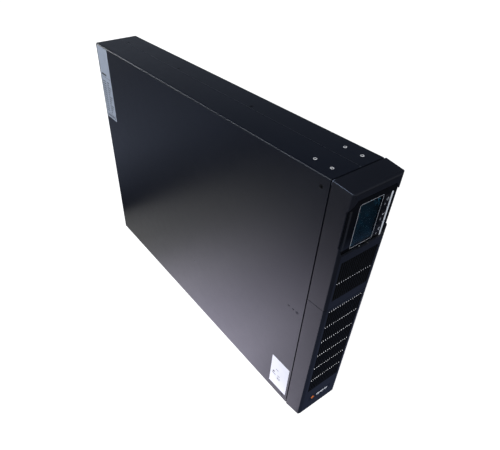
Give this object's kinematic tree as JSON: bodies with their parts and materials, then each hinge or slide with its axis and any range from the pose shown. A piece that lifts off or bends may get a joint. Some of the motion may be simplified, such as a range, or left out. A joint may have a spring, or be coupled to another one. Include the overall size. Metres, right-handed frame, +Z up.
{
  "type": "uninterruptible power supply",
  "caption": "Slim rack and tower uninterruptible power supply standing on its side, with a display, grilles, a battery drawer, fans and rear outlets.",
  "frame": {"origin": "middle of the outline in plan, on the surface it stands on", "axes": "+Z up, -Y out of the front bezel, +Y out of the rear panel, -X out of the large cover face that carries the labels"},
  "size_m": [0.0866, 0.648, 0.438],
  "materials": {
    "powder_coat": "fine textured charcoal powder coat",
    "inner_steel": "black painted sheet",
    "zinc_steel": "zinc plated sheet",
    "screw_black": "black oxide",
    "insert_zinc": "bright zinc plated",
    "bezel_plastic": "fine moulded grain",
    "grille_plastic": "satin",
    "badge_metal": "dark anodised, satin",
    "gloss_black": "high gloss",
    "lens": "tinted clear",
    "lcd_glass": "dark panel",
    "circuit_board": "solder mask",
    "black_plastic": "fine moulded grain",
    "button_plastic": "gloss",
    "light_guide": "milky light guide",
    "strip_plastic": "satin",
    "cable_grey": "flat cable",
    "screw_steel": "nickel plated",
    "battery_case": "moulded case",
    "brass_parts": "plated",
    "lead_red": "insulated wire",
    "grey_plastic": "moulded",
    "guide_nylon": "nylon",
    "heat_sink": "extruded",
    "capacitor_sleeve": "shrink sleeve",
    "winding": "lacquered copper",
    "ferrite": "ferrite and tape",
    "lead_black": "insulated wire",
    "chrome_wire": "plated wire",
    "socket_plastic": "moulded",
    "white_plastic": "moulded",
    "port_metal": "plated shell",
    "label_silver": "printed film",
    "label_white": "printed paper film",
    "print_grey": "printed light grey",
    "print_dark": "printed dark grey",
    "accent_orange": "enamelled",
    "slat_metal": "plated facing on the grilles' cross slats"
  },
  "bodies": {
    "chassis": {"chassis_tray": "powder_coat", "cover_shell": "powder_coat", "front_plate": "inner_steel", "rear_panel": "powder_coat", "bay_partition": "zinc_steel", "cover_screws": "screw_black", "ear_inserts": "insert_zinc", "upper_bezel": "bezel_plastic", "upper_grille": "grille_plastic", "display_fascia": "gloss_black", "display_lens": "lens", "lcd_module": "lcd_glass", "display_board": "circuit_board", "display_housing": "black_plastic", "tact_switches": "black_plastic", "status_lights": "light_guide", "accent_strip": "strip_plastic", "display_cable": "cable_grey", "dock_socket": "grey_plastic", "drawer_guides": "guide_nylon", "power_board": "circuit_board", "board_spacers": "screw_steel", "heat_sinks": "heat_sink", "transistors": "black_plastic", "bulk_capacitors": "capacitor_sleeve", "inductors": "winding", "transformer": "ferrite", "control_board": "circuit_board", "filter_board": "circuit_board", "main_leads": "lead_black", "fan_frames": "black_plastic", "fan_guards": "chrome_wire", "mains_inlet": "socket_plastic", "inlet_pins": "brass_parts", "breaker_body": "socket_plastic", "outlets": "socket_plastic", "large_outlet": "socket_plastic", "battery_port": "grey_plastic", "comm_ports": "port_metal", "slot_cover": "powder_coat", "rear_screws": "screw_steel", "earth_stud": "brass_parts", "rating_label": "label_silver", "serial_label": "label_white"},
    "battery_drawer": {"battery_drawer": "zinc_steel", "drawer_handle": "black_plastic", "drawer_screws": "screw_steel", "batteries": "battery_case", "battery_terminals": "brass_parts", "battery_links": "lead_red", "drawer_plug": "grey_plastic"},
    "battery_cover": {"lower_bezel": "bezel_plastic", "lower_grille": "grille_plastic", "badge": "badge_metal"},
    "power_button": {"power_button": "button_plastic"},
    "select_button": {"select_button": "button_plastic"},
    "scroll_button": {"scroll_button": "button_plastic"},
    "lower_fan": {"lower_fan_rotor": "black_plastic"},
    "upper_fan": {"upper_fan_rotor": "black_plastic"},
    "breaker_button": {"breaker_button": "white_plastic"}
  },
  "joints": [
    {"name": "drawer_slide", "type": "slide", "parent": "chassis", "child": "battery_drawer", "axis": [0, -1, 0], "range_m": [0, 0.46]},
    {"name": "cover_pull", "type": "slide", "parent": "battery_drawer", "child": "battery_cover", "axis": [0, -1, 0], "range_m": [0, 0.12]},
    {"name": "power_button_press", "type": "slide", "parent": "chassis", "child": "power_button", "axis": [0, 1, 0], "range_m": [0, 0.0008], "stiffness_N_per_m": 1500},
    {"name": "select_button_press", "type": "slide", "parent": "chassis", "child": "select_button", "axis": [0, 1, 0], "range_m": [0, 0.0008], "stiffness_N_per_m": 1500},
    {"name": "scroll_button_press", "type": "slide", "parent": "chassis", "child": "scroll_button", "axis": [0, 1, 0], "range_m": [0, 0.0008], "stiffness_N_per_m": 1500},
    {"name": "lower_fan_spin", "type": "hinge", "parent": "chassis", "child": "lower_fan", "pos_m": [0, 0.3012, 0.311], "axis": [0, 1, 0], "continuous": true},
    {"name": "upper_fan_spin", "type": "hinge", "parent": "chassis", "child": "upper_fan", "pos_m": [0, 0.3012, 0.393], "axis": [0, 1, 0], "continuous": true},
    {"name": "breaker_reset", "type": "slide", "parent": "chassis", "child": "breaker_button", "axis": [0, 1, 0], "range_m": [0, 0.003]}
  ]
}
